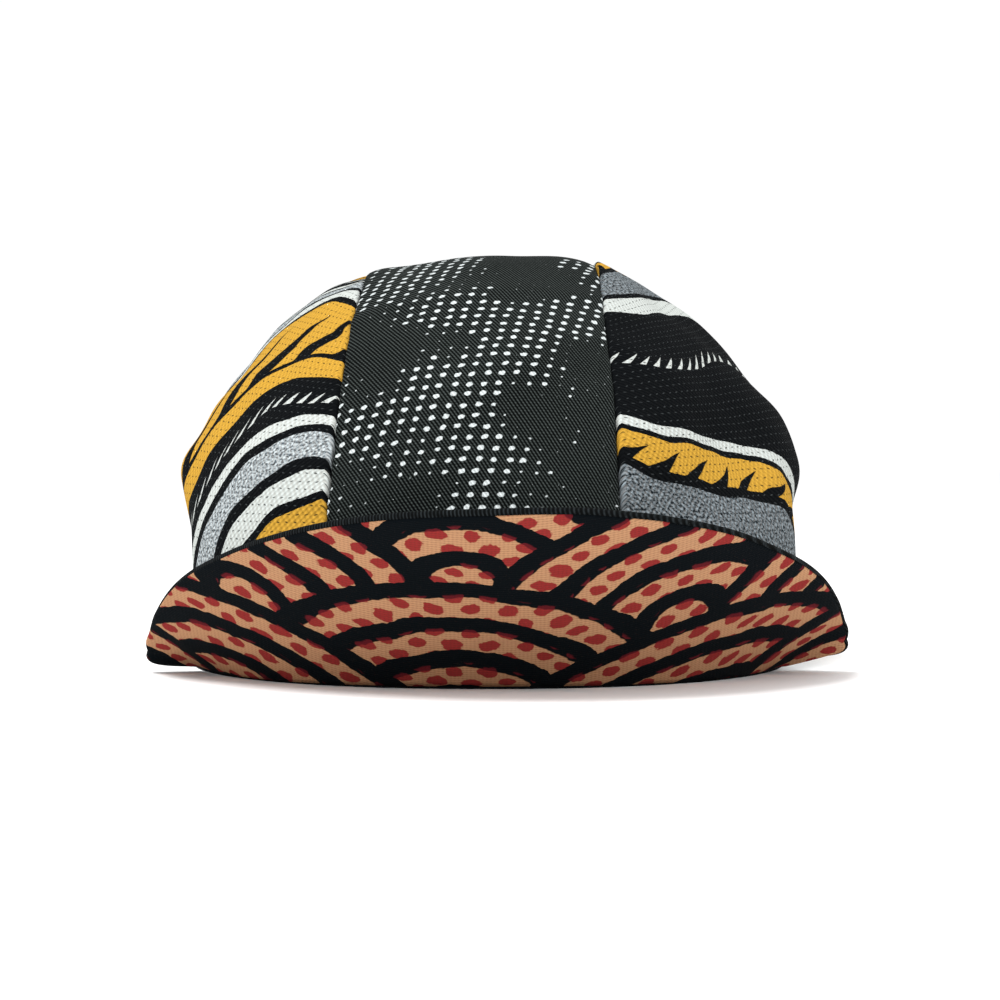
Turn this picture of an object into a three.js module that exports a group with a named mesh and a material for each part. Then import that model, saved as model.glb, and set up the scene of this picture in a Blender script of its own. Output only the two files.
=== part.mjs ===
// A cycling cap standing on its rim, in millimetres.
// X runs across the cap, the peak points to -Y and Z is up. Left is the -X side.
// The crown is a strip from peak to back between two side panels. A band turned in under the rim
// holds it round, and the peak is flipped up in front of it.

import * as THREE from 'three';

// Crown: the round of its rim, its widest level and its top
const RIM_HALF_LENGTH = 98;
const RIM_HALF_WIDTH = 79;
const RIM_SQUARENESS = 2.15;
const CROWN_HALF_WIDTH = 83.2;
const CROWN_HEIGHT = 110.5;

// Centre strip: its width over the peak, at the top and at the back, and how far off centre it lies
const STRIP_FRONT_WIDTH = 76.5;
const STRIP_TOP_WIDTH = 62;
const STRIP_BACK_WIDTH = 54;
const STRIP_SHIFT = 4.5;

// Band inside the rim
const BAND_HEIGHT = 28;

// Peak: its depth from root to edge, how far round the rim its root reaches, the root's height, and
// how much the edge lifts, doubled on the right and gone on the left, and sits off centre
const PEAK_DEPTH = 61.2;
const PEAK_END_ANGLE = 64;
const PEAK_ROOT_HEIGHT = 2.4;
const PEAK_LIFT = 1.2;
const PEAK_SHIFT = 1.8;

// Cloth walls, the clearance between sewn pieces and that of the band where it is loose
const CLOTH = 1.2;
const GAP = 0.3;
const BAND_GAP = 0.7;

// Where a side panel's seam edge is split, in degrees from the front rim over the top
const SEAM_FRONT_ANGLE = 60;
const SEAM_BACK_ANGLE = 130;

// The crown's side view. over: degrees from the front rim over the top to the back rim.
// fullness: share of the plain half oval of the rim's half length and the crown's height.
const SIDE_PROFILE = [
  { over: 0, fullness: 1.0 },
  { over: 20, fullness: 0.985 },
  { over: 40, fullness: 0.95 },
  { over: 60, fullness: 0.935 },
  { over: 80, fullness: 0.965 },
  { over: 100, fullness: 1.015 },
  { over: 120, fullness: 1.055 },
  { over: 140, fullness: 1.065 },
  { over: 160, fullness: 1.03 },
  { over: 180, fullness: 0.98 },
];

// The crown's front view. out: degrees from the middle plane down to the side.
// fullness: share of the plain half oval of the crown's half width and height.
const SHOULDER = [
  { out: 0, fullness: 1.0 },
  { out: 14, fullness: 1.012 },
  { out: 26, fullness: 1.042 },
  { out: 40, fullness: 1.064 },
  { out: 50, fullness: 1.083 },
  { out: 58, fullness: 1.105 },
  { out: 63, fullness: 1.104 },
  { out: 68, fullness: 1.072 },
  { out: 74, fullness: 1.012 },
  { out: 82, fullness: 0.968 },
  { out: 90, fullness: RIM_HALF_WIDTH / CROWN_HALF_WIDTH },
];

// Soft spots where the cloth sinks or swells: across and sideways are shares of the crown's half
// width, along is one of the rim's half length, and up, reach and lift are shares of its height.
const SOFT_SPOTS = [
  { across: -0.31, along: 0, up: 0.98, reach: 0.18, sideways: 0, lift: -0.012 },
  { across: 0.41, along: 0, up: 0.92, reach: 0.18, sideways: 0, lift: 0.007 },
  { across: -1.0, along: 0, up: 0.46, reach: 0.15, sideways: -0.014, lift: 0 },
  { across: -0.96, along: 0, up: 0.22, reach: 0.18, sideways: 0.056, lift: 0 },
  { across: 0.98, along: 0, up: 0.27, reach: 0.15, sideways: -0.017, lift: 0 },
  { across: -0.84, along: 0, up: 0.7, reach: 0.18, sideways: 0.012, lift: -0.006 },
  { across: 0.79, along: 0, up: 0.67, reach: 0.36, sideways: 0.01, lift: 0.003 },
];
const SPOT_STRETCH = 1.7;

// The peak's sections. root: share of the way from the middle of the root to its end.
// turn: degrees from straight ahead. depth: share of the peak's depth. rise: degrees above level.
const PEAK_SECTIONS = [
  { root: 0, turn: 0, depth: 1.0, rise: 40 },
  { root: 0.2, turn: 5.2, depth: 0.97, rise: 40.6 },
  { root: 0.4, turn: 13.5, depth: 0.845, rise: 42.6 },
  { root: 0.6, turn: 26, depth: 0.665, rise: 44.6 },
  { root: 0.75, turn: 40, depth: 0.52, rise: 43 },
  { root: 0.85, turn: 55, depth: 0.395, rise: 37 },
  { root: 0.93, turn: 68, depth: 0.305, rise: 28 },
  { root: 0.97, turn: 77, depth: 0.26, rise: 15 },
  { root: 0.99, turn: 81, depth: 0.2, rise: 4 },
  { root: 1, turn: 84, depth: 0.03, rise: 2 },
];

// Degrees above level at which the top cover's roll round the peak's edge has its corners
const ROLL_TURNS = [45, 0, -40];

// Steps of the faceted walls
const STRIP_STEPS = { along: 44, across: 8 };
const SIDE_STEPS = { along: 26, up: 14 };
const BAND_STEPS = { round: 72, up: 3 };
const PEAK_STEPS = { across: 46, deep: 6 };

const UP = new THREE.Vector3(0, 0, 1);
const radians = THREE.MathUtils.degToRad;
const degrees = THREE.MathUtils.radToDeg;

// A smooth value through a table's rows, flat before its first row and after its last
function smoothTable(rows, key, column, at) {
  const x = THREE.MathUtils.clamp(at, rows[0][key], rows[rows.length - 1][key]);
  let i = 0;
  while (i < rows.length - 2 && x > rows[i + 1][key]) i += 1;
  const rise = (k) => (rows[k + 1][column] - rows[k][column]) / (rows[k + 1][key] - rows[k][key]);
  const slope = (k) => {
    if (k === 0) return 0;
    if (k === rows.length - 1) return rise(k - 1);
    const before = rows[k][key] - rows[k - 1][key];
    const after = rows[k + 1][key] - rows[k][key];
    return (rise(k) * before + rise(k - 1) * after) / (before + after);
  };
  const step = rows[i + 1][key] - rows[i][key];
  const t = (x - rows[i][key]) / step;
  const ease = t * t * (3 - 2 * t);
  const start = t * (1 - t) * (1 - t) * step * slope(i);
  const end = t * t * (t - 1) * step * slope(i + 1);
  return rows[i][column] * (1 - ease) + rows[i + 1][column] * ease + start + end;
}

// Unit direction at `out` degrees from the middle plane and `over` degrees from the front rim
function directionOver(out, over) {
  const a = radians(out);
  const b = radians(over);
  return new THREE.Vector3(Math.sin(a), -Math.cos(a) * Math.cos(b), Math.cos(a) * Math.sin(b));
}

// Unit direction at `round` degrees about Z from the front, level with the rim
function directionRound(round) {
  return new THREE.Vector3(Math.sin(radians(round)), -Math.cos(radians(round)), 0);
}

// Every soft spot's push at a point of the plain form; the band keeps the rim itself in shape
function softPush(point) {
  const push = new THREE.Vector3();
  const held = 1 - Math.exp(-((point.z / (BAND_HEIGHT / 2)) ** 2));
  for (const spot of SOFT_SPOTS) {
    const reach = spot.reach * CROWN_HEIGHT;
    const dx = (point.x - spot.across * CROWN_HALF_WIDTH) / reach;
    const dy = (point.y - spot.along * RIM_HALF_LENGTH) / (reach * SPOT_STRETCH);
    const dz = (point.z - spot.up * CROWN_HEIGHT) / reach;
    const weight = held * Math.exp(-(dx * dx + dy * dy + dz * dz));
    push.x += weight * spot.sideways * CROWN_HALF_WIDTH;
    push.z += weight * spot.lift * CROWN_HEIGHT;
  }
  return push;
}

// Point of the crown's outer face in a unit direction. The rim is a squared oval, the section over
// the top follows the shoulder table, and the side profile leans it all back.
function crownOuter(direction) {
  const across = Math.abs(direction.x);
  const level = Math.hypot(direction.y, direction.z);
  const over = degrees(Math.atan2(Math.abs(direction.z), -direction.y));
  const climb = Math.abs(Math.sin(radians(over)));
  const wide = (across * CROWN_HALF_WIDTH / RIM_HALF_WIDTH) ** RIM_SQUARENESS;
  const rim = (wide + level ** RIM_SQUARENESS) ** (-1 / RIM_SQUARENESS);
  const shoulder = smoothTable(SHOULDER, 'out', 'fullness', degrees(Math.atan2(across, level)));
  const reach = (1 - climb) * rim + climb * shoulder;
  const lean = reach * smoothTable(SIDE_PROFILE, 'over', 'fullness', over);
  const foot = CLOTH + GAP;
  const point = new THREE.Vector3(
    CROWN_HALF_WIDTH * reach * direction.x,
    RIM_HALF_LENGTH * lean * direction.y,
    foot + (CROWN_HEIGHT - foot) * lean * direction.z,
  );
  return point.add(softPush(point));
}

// Unit vector square to the crown's outer face, level at the rim
function crownNormal(direction) {
  const aside = Math.abs(direction.x) > 0.9 ? new THREE.Vector3(0, 1, 0) : new THREE.Vector3(1, 0, 0);
  const first = new THREE.Vector3().crossVectors(direction, aside).normalize();
  const second = new THREE.Vector3().crossVectors(direction, first);
  const slopes = [first, second].map((turn) => {
    const ahead = direction.clone().addScaledVector(turn, 0.01).normalize();
    const behind = direction.clone().addScaledVector(turn, -0.01).normalize();
    return crownOuter(ahead).sub(crownOuter(behind));
  });
  const normal = new THREE.Vector3().crossVectors(slopes[0], slopes[1]);
  if (normal.dot(direction) < 0) normal.negate();
  if (Math.abs(direction.z) < 1e-9) normal.z = 0;
  return normal.normalize();
}

// Point of the crown's wall at a depth behind its outer face
function crownAt(direction, depth) {
  return crownOuter(direction).addScaledVector(crownNormal(direction), -depth);
}

// Seam lines

// Distance of a seam from the middle plane: side is -1 or 1
function seamOffset(over, side) {
  const share = over / 180;
  const front = THREE.MathUtils.lerp(STRIP_FRONT_WIDTH, STRIP_TOP_WIDTH, Math.min(1, share * 2));
  const width = share < 0.5 ? front : THREE.MathUtils.lerp(STRIP_TOP_WIDTH, STRIP_BACK_WIDTH, share * 2 - 1);
  return side * width / 2 - STRIP_SHIFT * (1 - share);
}

// Direction in which the crown's outer face lies `x` from the middle plane
function directionAtX(x, over) {
  let low = -80;
  let high = 80;
  for (let i = 0; i < 40; i += 1) {
    const middle = (low + high) / 2;
    if (crownOuter(directionOver(middle, over)).x < x) low = middle;
    else high = middle;
  }
  return directionOver((low + high) / 2, over);
}

// Closed walls

// Closed body between two matched grids of points, which are joined round their edges.
// A ring's last row joins its first.
function wallGeometry(outer, inner, ring = false) {
  const rows = outer.length;
  const columns = outer[0].length;
  const positions = [...outer.flat(), ...inner.flat()].flatMap((point) => point.toArray());
  const index = [];
  const out = (i, j) => (i % rows) * columns + j;
  const back = (i, j) => rows * columns + out(i, j);
  const quad = (a, b, c, d) => index.push(a, b, c, a, c, d);
  const last = ring ? rows : rows - 1;
  for (let i = 0; i < last; i += 1) {
    for (let j = 0; j < columns - 1; j += 1) {
      quad(out(i, j), out(i, j + 1), out(i + 1, j + 1), out(i + 1, j));
      quad(back(i, j), back(i + 1, j), back(i + 1, j + 1), back(i, j + 1));
    }
    quad(out(i, 0), out(i + 1, 0), back(i + 1, 0), back(i, 0));
    quad(out(i, columns - 1), back(i, columns - 1), back(i + 1, columns - 1), out(i + 1, columns - 1));
  }
  for (let j = 0; j < columns - 1 && !ring; j += 1) {
    quad(out(0, j), back(0, j), back(0, j + 1), out(0, j + 1));
    quad(out(last, j), out(last, j + 1), back(last, j + 1), back(last, j));
  }
  const geometry = new THREE.BufferGeometry();
  geometry.setAttribute('position', new THREE.Float32BufferAttribute(positions, 3));
  geometry.setIndex(volumeOf(positions, index) < 0 ? index.reverse() : index);
  geometry.computeVertexNormals();
  return geometry;
}

// Signed volume inside a closed set of triangles, below zero when they face in
function volumeOf(positions, index) {
  const corner = (k) => new THREE.Vector3().fromArray(positions, 3 * index[k]);
  let volume = 0;
  for (let k = 0; k < index.length; k += 3) {
    volume += corner(k).dot(corner(k + 1).cross(corner(k + 2))) / 6;
  }
  return volume;
}

// Evenly spaced shares from 0 to 1
function shares(steps) {
  return Array.from({ length: steps + 1 }, (_, i) => i / steps);
}

// A grid of crown directions made into a cloth wall
function crownWall(directions) {
  const outer = directions.map((row) => row.map((direction) => crownAt(direction, 0)));
  const inner = directions.map((row) => row.map((direction) => crownAt(direction, CLOTH)));
  return wallGeometry(outer, inner);
}

// Pieces

// Centre strip: it runs from the front rim over the top to the back rim, between the seams
function centrePanelGeometry() {
  const directions = shares(STRIP_STEPS.along).map((along) => {
    const over = 180 * along;
    const left = seamOffset(over, -1) + GAP / 2;
    const right = seamOffset(over, 1) - GAP / 2;
    return shares(STRIP_STEPS.across).map((across) => directionAtX(left + (right - left) * across, over));
  });
  return crownWall(directions);
}

// Side panel: its four edges are the rim and the seam's front, top and back stretches, and the
// directions between them are blended from the edges
function sidePanelGeometry(side) {
  const seam = (over) => directionAtX(seamOffset(over, side) + side * GAP / 2, over);
  const firstRound = degrees(Math.asin(seam(0).x));
  const lastRound = side * 180 - degrees(Math.asin(seam(180).x));
  const rim = (along) => directionRound(THREE.MathUtils.lerp(firstRound, lastRound, along));
  const top = (along) => seam(THREE.MathUtils.lerp(SEAM_FRONT_ANGLE, SEAM_BACK_ANGLE, along));
  const front = (up) => seam(SEAM_FRONT_ANGLE * up);
  const back = (up) => seam(THREE.MathUtils.lerp(180, SEAM_BACK_ANGLE, up));
  const blend = (along, up) => {
    const point = new THREE.Vector3();
    point.addScaledVector(rim(along), 1 - up).addScaledVector(top(along), up);
    point.addScaledVector(front(up), 1 - along).addScaledVector(back(up), along);
    point.addScaledVector(rim(0), -(1 - along) * (1 - up)).addScaledVector(rim(1), -along * (1 - up));
    point.addScaledVector(top(0), -(1 - along) * up).addScaledVector(top(1), -along * up);
    return point.normalize();
  };
  const columns = shares(SIDE_STEPS.up);
  return crownWall(shares(SIDE_STEPS.along).map((along) => columns.map((up) => blend(along, up))));
}

// Direction round the rim in which the crown's outer face has a height
function directionAtHeight(round, height) {
  const level = directionRound(round);
  let low = 0;
  let high = 60;
  for (let i = 0; i < 40; i += 1) {
    const middle = (low + high) / 2;
    const direction = level.clone().multiplyScalar(Math.cos(radians(middle)));
    if (crownOuter(direction.addScaledVector(UP, Math.sin(radians(middle)))).z < height) low = middle;
    else high = middle;
  }
  return level.multiplyScalar(Math.cos(radians(low))).addScaledVector(UP, Math.sin(radians(low)));
}

// Headband: a wall inside the crown whose lower edge turns out under the crown's cloth
function headbandGeometry() {
  const behind = CLOTH + BAND_GAP;
  const at = (round, depth, height) => {
    const point = crownAt(directionAtHeight(round, height), depth);
    point.z = height;
    return point;
  };
  const foot = (round, depth, height) => {
    const point = crownAt(directionRound(round), depth);
    point.z = height;
    return point;
  };
  const rounds = Array.from({ length: BAND_STEPS.round }, (_, i) => (360 * i) / BAND_STEPS.round);
  const heights = shares(BAND_STEPS.up).map((up) => THREE.MathUtils.lerp(behind + CLOTH, BAND_HEIGHT, up));
  const outer = rounds.map((round) => [
    foot(round, 0, 0),
    foot(round, 0, CLOTH),
    foot(round, behind, CLOTH),
    ...heights.map((height) => at(round, behind, height)),
  ]);
  const inner = rounds.map((round) => [
    foot(round, CLOTH / 2, 0),
    foot(round, behind, 0),
    foot(round, behind + CLOTH, 0),
    ...heights.map((height) => at(round, behind + CLOTH, height)),
  ]);
  return wallGeometry(outer, inner, true);
}

// Start of the peak at an angle round the rim, clear of the crown's wall from its foot up
function rootStart(round) {
  const normal = crownNormal(directionRound(round));
  const start = crownOuter(directionRound(round));
  const above = crownOuter(directionAtHeight(round, PEAK_ROOT_HEIGHT + 2 * CLOTH));
  const bulge = Math.max(0, above.sub(start).dot(normal));
  start.addScaledVector(normal, bulge + GAP);
  start.z = PEAK_ROOT_HEIGHT;
  return start;
}

// Peak section at a share of the root: where it starts, the way it runs and its length
function peakSection(root) {
  const value = (column) => smoothTable(PEAK_SECTIONS, 'root', column, Math.abs(root));
  const turn = value('turn') * Math.sign(root);
  const rise = radians(value('rise'));
  const start = rootStart(root * PEAK_END_ANGLE);
  const way = directionRound(turn).multiplyScalar(Math.cos(rise)).addScaledVector(UP, Math.sin(rise));
  return { start, way, length: PEAK_DEPTH * value('depth') };
}

// Point of the sheet between the two covers, at shares of the root and of the section's length
function peakSheet(root, deep) {
  const section = peakSection(root);
  const point = section.start.clone().addScaledVector(section.way, section.length * deep);
  point.z += PEAK_LIFT * deep * (1 + point.x / RIM_HALF_WIDTH);
  point.x += PEAK_SHIFT * deep;
  return point;
}

// Step along the sheet from one side of a section to the other
function peakAcross(root, deep) {
  const step = 0.004;
  const after = peakSheet(Math.min(1, root + step), deep);
  return after.sub(peakSheet(Math.max(-1, root - step), deep)).normalize();
}

// Offset that thickens the peak: upright at the root, against the crown, and square to it further out
function peakOffset(root, deep) {
  const section = peakSection(root);
  const square = new THREE.Vector3().crossVectors(section.way, peakAcross(root, deep)).normalize();
  const upright = UP.clone().divideScalar(square.z);
  const far = section.length * deep;
  return upright.lerp(square, THREE.MathUtils.smoothstep(far, 0, PEAK_DEPTH / 10));
}

// Point at a height over the sheet between the covers
function peakPoint(root, deep, over) {
  return peakSheet(root, deep).addScaledVector(peakOffset(root, deep), over);
}

// Point of the roll round the peak's edge: an oval of two reaches, `turn` degrees above level
function rollPoint(root, turn, out, over) {
  const square = peakOffset(root, 1);
  const outward = new THREE.Vector3().crossVectors(peakAcross(root, 1), square).normalize();
  const point = peakSheet(root, 1).addScaledVector(outward, out * Math.cos(radians(turn)));
  return point.addScaledVector(square, over * Math.sin(radians(turn)));
}

// Grid over the peak at a height over its sheet, with the section's steps closer at the corners
function peakLayer(over, edge = () => []) {
  return shares(PEAK_STEPS.across).map((share) => {
    const root = Math.sin((share - 0.5) * Math.PI);
    return [...shares(PEAK_STEPS.deep).map((deep) => peakPoint(root, deep, over)), ...edge(root)];
  });
}

// Cloth on top of the peak, whose edge rolls down round the edge of the cloth below
function peakTopGeometry() {
  const roll = (out, over) => (root) => ROLL_TURNS.map((turn) => rollPoint(root, turn, out, over));
  const outer = peakLayer(GAP / 2 + CLOTH, roll(GAP + CLOTH, GAP / 2 + CLOTH));
  const inner = peakLayer(GAP / 2, roll(GAP, GAP / 2));
  return wallGeometry(outer, inner);
}

// Cloth below the peak
function peakUnderGeometry() {
  return wallGeometry(peakLayer(-GAP / 2), peakLayer(-GAP / 2 - CLOTH));
}

// Assembly

function piece(name, geometry, color) {
  const material = new THREE.MeshStandardMaterial({ color, roughness: 0.9, metalness: 0 });
  const mesh = new THREE.Mesh(geometry, material);
  mesh.name = name;
  return mesh;
}

const cap = new THREE.Group();
cap.add(
  piece('crown_centre_panel', centrePanelGeometry(), 0x1a1b1d),
  piece('crown_left_panel', sidePanelGeometry(-1), 0xe8a23a),
  piece('crown_right_panel', sidePanelGeometry(1), 0xe8a23a),
  piece('headband', headbandGeometry(), 0x17191b),
  piece('peak_top_cover', peakTopGeometry(), 0x16181a),
  piece('peak_under_cover', peakUnderGeometry(), 0xd9a27e),
);

// The origin is under the middle of the whole cap, on the surface that it stands on
const box = new THREE.Box3().setFromObject(cap);
const middle = box.getCenter(new THREE.Vector3());
cap.position.set(-middle.x, -middle.y, -box.min.z);

export default cap;
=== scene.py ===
# %% [markdown]
# A cycling cap is cut from a few flat pieces of thin cloth: a strip from the peak over the top to
# the back, two half-moon side panels, a band inside the rim and a short peak between two covers.
# Here it stands on its rim with the peak flipped up, so the print under the peak faces us.
# The frame holds the measured solids. Each is replaced by a fine cloth surface in the same place.

# %% Load the frame
import math

import bmesh
import bpy
import numpy as np
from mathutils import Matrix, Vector


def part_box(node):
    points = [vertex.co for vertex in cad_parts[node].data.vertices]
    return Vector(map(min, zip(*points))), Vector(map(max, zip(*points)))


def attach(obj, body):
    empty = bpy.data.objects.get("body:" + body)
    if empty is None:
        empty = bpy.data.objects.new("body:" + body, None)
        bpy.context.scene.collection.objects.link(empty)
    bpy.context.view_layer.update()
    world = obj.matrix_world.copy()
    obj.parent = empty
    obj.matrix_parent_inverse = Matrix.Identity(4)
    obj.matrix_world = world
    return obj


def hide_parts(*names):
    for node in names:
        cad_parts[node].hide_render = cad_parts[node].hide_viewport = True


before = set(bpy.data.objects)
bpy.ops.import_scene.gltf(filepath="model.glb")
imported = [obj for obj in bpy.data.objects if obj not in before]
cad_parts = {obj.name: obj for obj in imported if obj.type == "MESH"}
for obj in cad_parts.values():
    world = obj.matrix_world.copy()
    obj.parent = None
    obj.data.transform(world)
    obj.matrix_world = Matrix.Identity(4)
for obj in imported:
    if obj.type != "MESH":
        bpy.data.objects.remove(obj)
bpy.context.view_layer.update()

print("nodes in the frame:", sorted(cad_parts))

# %% [markdown]
# The surfaces need the same driving sizes as the solids. Those that show as a box side are read
# from the frame, and the rest are repeated here in metres. The crown's own origin is the middle of
# its rim, so every point is worked out there and then moved by one vector.

# %% Sizes of the crown, the strip, the band and the peak
band_low, band_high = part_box("headband")

RIM_BACK_FULLNESS = 0.98
RIM_HALF_WIDTH = (band_high[0] - band_low[0]) / 2
RIM_HALF_LENGTH = (band_high[1] - band_low[1]) / (1 + RIM_BACK_FULLNESS)
RIM_SQUARENESS = 2.15
CROWN_HALF_WIDTH = 0.0832
CROWN_HEIGHT = 0.1105
STRIP_WIDTHS = [(0, 0.0765), (90, 0.062), (180, 0.054)]
STRIP_SHIFT = 0.0045
BAND_HEIGHT = band_high[2]
PEAK_DEPTH = 0.0612
PEAK_END_ANGLE = 64
PEAK_ROOT_HEIGHT = 0.0024
PEAK_LIFT = 0.0012
PEAK_SHIFT = 0.0018
CLOTH = 0.0012
GAP = 0.0003
BAND_GAP = 0.0007

rim_middle = np.array([(band_low[0] + band_high[0]) / 2, band_low[1] + RIM_HALF_LENGTH, 0.0])
rim_size = [round(2000 * half, 1) for half in (RIM_HALF_WIDTH, RIM_HALF_LENGTH)]
print("rim", rim_size, "mm, middle", rim_middle.round(4))

# %% Tables of the crown's side view, its front view and its soft spots
# Degrees from the front rim over the top, and the share of a plain oval's height there.
SIDE_PROFILE = [
    (0, 1.0), (20, 0.985), (40, 0.95), (60, 0.935), (80, 0.965),
    (100, 1.015), (120, 1.055), (140, 1.065), (160, 1.03), (180, RIM_BACK_FULLNESS),
]
# Degrees from the middle plane down to the side, and the share of a plain oval's size there.
SHOULDER = [
    (0, 1.0), (14, 1.012), (26, 1.042), (40, 1.064), (50, 1.083), (58, 1.105),
    (63, 1.104), (68, 1.072), (74, 1.012), (82, 0.968), (90, RIM_HALF_WIDTH / CROWN_HALF_WIDTH),
]
# Across, along and up as shares of the crown's size, then reach, push sideways and lift.
SOFT_SPOTS = [
    (-0.31, 0, 0.98, 0.18, 0, -0.012),
    (0.41, 0, 0.92, 0.18, 0, 0.007),
    (-1.0, 0, 0.46, 0.15, -0.014, 0),
    (-0.96, 0, 0.22, 0.18, 0.056, 0),
    (0.98, 0, 0.27, 0.15, -0.017, 0),
    (-0.84, 0, 0.7, 0.18, 0.012, -0.006),
    (0.79, 0, 0.67, 0.36, 0.01, 0.003),
]
SPOT_STRETCH = 1.7
# Share of the root, turn from straight ahead, share of the depth, and rise above level.
PEAK_SECTIONS = [
    (0, 0, 1.0, 40), (0.2, 5.2, 0.97, 40.6), (0.4, 13.5, 0.845, 42.6), (0.6, 26, 0.665, 44.6),
    (0.75, 40, 0.52, 43), (0.85, 55, 0.395, 37), (0.93, 68, 0.305, 28), (0.97, 77, 0.26, 15),
    (0.99, 81, 0.2, 4), (1, 84, 0.03, 2),
]

# %% [markdown]
# The crown is a map from directions to points: each unit direction from the rim's middle gives one
# point of the cloth. It lets us lay any grid of directions over the crown, with seams wherever we
# like, and all its pieces stay on one shape. Sculpting or a cloth simulation could give a crown too,
# but a formula keeps its sizes exact. The numbers between a table's rows come from a smooth cubic,
# so no row shows as a kink.


# %% Helpers for tables and vectors
def smooth_table(table, at, column=1):
    """Value of a table between its rows: a cubic whose slope at a row blends both its sides."""
    keys, values = np.array(table, float)[:, [0, column]].T
    at = np.clip(at, keys[0], keys[-1])
    i = np.clip(np.searchsorted(keys, at, side="right") - 1, 0, len(keys) - 2)
    step = np.diff(keys)
    rise = np.diff(values) / step
    slope = np.zeros(len(keys))
    slope[1:-1] = (rise[1:] * step[:-1] + rise[:-1] * step[1:]) / (step[:-1] + step[1:])
    slope[-1] = rise[-1]
    t = (at - keys[i]) / step[i]
    ease = t * t * (3 - 2 * t)
    between = values[i] * (1 - ease) + values[i + 1] * ease
    return between + step[i] * t * (1 - t) * ((1 - t) * slope[i] - t * slope[i + 1])


def unit(vectors):
    """Vectors made one long."""
    return vectors / np.linalg.norm(vectors, axis=-1, keepdims=True)


def dot(a, b):
    """Scalar product along the last axis, which is kept."""
    return (a * b).sum(axis=-1, keepdims=True)


def bisect(low, high, is_small):
    """Root between two bounds: halved forty times towards where is_small turns false."""
    for _ in range(40):
        middle = (low + high) / 2
        small = is_small(middle)
        low, high = np.where(small, middle, low), np.where(small, high, middle)
    return (low + high) / 2


def soft_step(edge, width, at):
    """Zero before an edge and one after it, with a smooth rise over the width."""
    t = np.clip((at - edge) / width + 0.5, 0, 1)
    return t * t * (3 - 2 * t)


# %% The crown's shape
def direction_over(out, over):
    """Direction `out` degrees from the middle plane and `over` degrees from the front rim."""
    a, b = np.radians(out), np.radians(over)
    return np.stack([np.sin(a) + 0 * b, -np.cos(a) * np.cos(b), np.cos(a) * np.sin(b)], axis=-1)


def direction_round(around):
    """Direction level with the rim, `around` degrees about Z from the front."""
    a = np.radians(around)
    return np.stack([np.sin(a), -np.cos(a), 0 * a], axis=-1)


def soft_push(points):
    """Push of every soft spot: a bell curve of the distance, let out above the band."""
    push = np.zeros_like(points)
    held = 1 - np.exp(-(points[..., 2] / (BAND_HEIGHT / 2)) ** 2)
    for across, along, up, reach, sideways, lift in SOFT_SPOTS:
        far = reach * CROWN_HEIGHT
        dx = (points[..., 0] - across * CROWN_HALF_WIDTH) / far
        dy = (points[..., 1] - along * RIM_HALF_LENGTH) / (far * SPOT_STRETCH)
        dz = (points[..., 2] - up * CROWN_HEIGHT) / far
        weight = held * np.exp(-(dx ** 2 + dy ** 2 + dz ** 2))
        push[..., 0] += weight * sideways * CROWN_HALF_WIDTH
        push[..., 2] += weight * lift * CROWN_HEIGHT
    return push


def crown_outer(direction):
    """Point of the crown: a squared oval at the rim that turns into the shoulder table's section
    on the way up, times the side profile, which leans it all back."""
    x, y, z = np.moveaxis(direction, -1, 0)
    level = np.hypot(y, z)
    over = np.degrees(np.arctan2(np.abs(z), -y))
    climb = np.abs(np.sin(np.radians(over)))
    wide = (np.abs(x) * CROWN_HALF_WIDTH / RIM_HALF_WIDTH) ** RIM_SQUARENESS
    rim = (wide + level ** RIM_SQUARENESS) ** (-1 / RIM_SQUARENESS)
    section = smooth_table(SHOULDER, np.degrees(np.arctan2(np.abs(x), level)))
    reach = (1 - climb) * rim + climb * section
    lean = reach * smooth_table(SIDE_PROFILE, over)
    foot = CLOTH + GAP
    height = foot + (CROWN_HEIGHT - foot) * lean * z
    points = np.stack([CROWN_HALF_WIDTH * reach * x, RIM_HALF_LENGTH * lean * y, height], axis=-1)
    return points + soft_push(points)


def crown_normal(direction):
    """Way out of the cloth: across two small turns of the direction, and level at the rim."""
    aside = np.where(np.abs(direction[..., :1]) > 0.9, [0.0, 1.0, 0.0], [1.0, 0.0, 0.0])
    first = unit(np.cross(direction, aside))
    second = np.cross(direction, first)
    steps = [crown_outer(unit(direction + 0.01 * turn)) - crown_outer(unit(direction - 0.01 * turn))
             for turn in (first, second)]
    normal = np.cross(steps[0], steps[1])
    normal *= np.sign(dot(normal, direction))
    normal[..., 2] = np.where(np.abs(direction[..., 2]) < 1e-9, 0, normal[..., 2])
    return unit(normal)


def direction_at_x(x, over):
    """Direction in which the crown lies `x` from the middle plane."""
    x, over = np.broadcast_arrays(x, over)
    ends = np.full(x.shape, 80.0)
    out = bisect(-ends, ends, lambda turn: crown_outer(direction_over(turn, over))[..., 0] < x)
    return direction_over(out, over)


def direction_at_height(around, height):
    """Direction round the rim in which the crown is at a height."""
    around, height = np.broadcast_arrays(around, height)

    def tilt(rise):
        flat = direction_round(around) * np.cos(np.radians(rise))[..., None]
        return flat + np.array([0, 0, 1]) * np.sin(np.radians(rise))[..., None]

    ends = np.full(around.shape, 60.0)
    return tilt(bisect(0 * ends, ends, lambda rise: crown_outer(tilt(rise))[..., 2] < height))


top = crown_outer(direction_over(np.array(0.0), np.array(100.0)))
print("crown near its top:", (1000 * top).round(1), "mm")


# %% [markdown]
# A grid of points becomes a mesh in one step: rows and columns give the quads. Each grid also
# carries where the point lies on the flat cloth, in metres, as its UV map. Weaves and prints read
# that map, so a thread stays as wide on a steep side as on the flat top.

# %% Grid to mesh
MERGE_DISTANCE = 1e-5
# One layer of cloth is thinner than the solids' wall, which counts the layers at a seam too.
SHEET_SHARE = 0.7


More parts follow.
